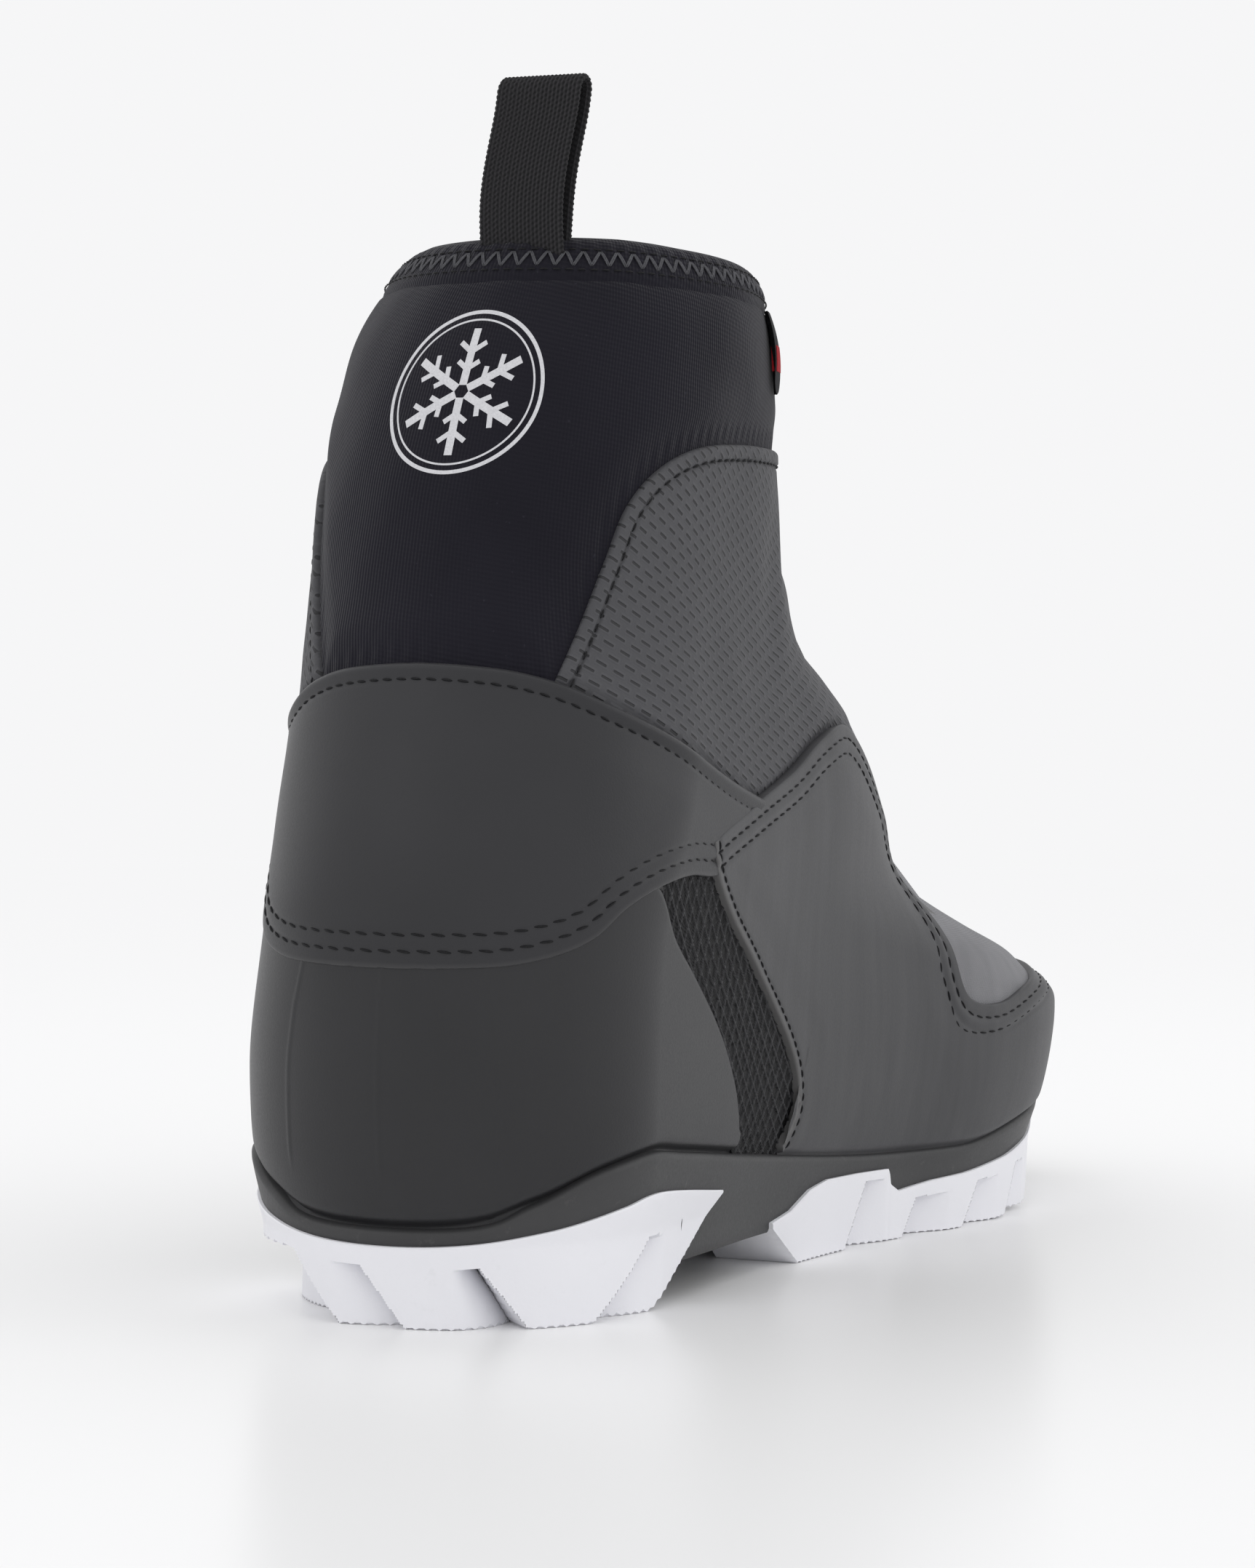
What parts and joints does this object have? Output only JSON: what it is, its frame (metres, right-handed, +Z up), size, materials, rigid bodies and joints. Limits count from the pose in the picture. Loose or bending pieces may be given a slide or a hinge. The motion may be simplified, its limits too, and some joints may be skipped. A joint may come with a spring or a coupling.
{
  "type": "cross country ski boot",
  "caption": "Right cross country ski boot with a neoprene cuff, ankle band, wrap-around rand, front zip, heel pull loop and a grooved sole with a steel toe bar.",
  "frame": {"origin": "middle of the bounding box in plan, on the floor under the lugs", "axes": "+X to the toe, +Y to the inner (medial) side of this right boot, +Z up"},
  "size_m": [0.297, 0.1084, 0.2314],
  "materials": {
    "cuff_neoprene": "matt knit-faced neoprene",
    "band_coating": "soft matt polyurethane sheet, faint leather grain",
    "counter_shell": "moulded satin plastic",
    "grip_rubber": "moulded rubber with raised diamonds",
    "overlay_coating": "smooth satin polyurethane overlay",
    "quarter_textile": "embossed softshell textile",
    "vamp_stretch": "stretch softshell",
    "sole_rubber": "matt black rubber",
    "tread_rubber": "satin white rubber",
    "insert_plastic": "moulded nylon",
    "bar_steel": "ground steel",
    "zip_metal": "black coated zinc",
    "zip_coil": "nylon coil",
    "zip_tape": "woven tape",
    "webbing": "ribbed woven webbing",
    "tag_fabric": "folded woven label",
    "lining_textile": "brushed knit on foam",
    "foam": "closed-cell foam",
    "board": "fibre lasting board",
    "inner_plastic": "thermoplastic sheet"
  },
  "bodies": {
    "boot": {"outsole": "sole_rubber", "heel_tread": "tread_rubber", "forefoot_tread": "tread_rubber", "toe_insert": "insert_plastic", "toe_bar": "bar_steel", "midsole": "foam", "shank": "bar_steel", "lasting_board": "board", "footbed": "foam", "heel_stiffener": "inner_plastic", "toe_puff": "inner_plastic", "tongue": "lining_textile", "lining": "lining_textile", "heel_counter": "counter_shell", "ankle_band": "band_coating", "rand": "overlay_coating", "vamp": "vamp_stretch", "cuff": "cuff_neoprene", "collar_hem": "cuff_neoprene", "grip_panel_lateral": "grip_rubber", "grip_panel_medial": "grip_rubber", "quarter_lateral": "quarter_textile", "quarter_medial": "quarter_textile", "zip_tape_lateral": "zip_tape", "zip_tape_medial": "zip_tape", "zip_chain": "zip_coil", "zip_bottom_stop": "zip_metal", "zip_top_stop": "zip_metal", "pull_loop_tail": "webbing"},
    "slider": {"zip_slider": "zip_metal"},
    "pull": {"zip_pull": "zip_metal"},
    "loop": {"pull_loop": "webbing"},
    "tag": {"collar_tag": "tag_fabric"}
  },
  "joints": [
    {"name": "zip_travel", "type": "slide", "parent": "boot", "child": "slider", "axis": [0.3365, 0.1136, -0.9348], "range_m": [0, 0.0235]},
    {"name": "pull_swing", "type": "hinge", "parent": "slider", "child": "pull", "pos_m": [-0.02076, -0.00214, 0.19143], "axis": [0.0385, -0.9935, -0.1068], "range_deg": [0, 160]},
    {"name": "loop_fold", "type": "hinge", "parent": "boot", "child": "loop", "pos_m": [-0.10595, -0.00326, 0.2011], "axis": [0, 1, 0], "range_deg": [-50, 50], "stiffness_Nm_per_rad": 0.02},
    {"name": "tag_flap", "type": "hinge", "parent": "boot", "child": "tag", "pos_m": [-0.05408, -0.03467, 0.18914], "axis": [-0.9507, -0.3101, 0], "range_deg": [0, 70], "stiffness_Nm_per_rad": 0.005}
  ]
}
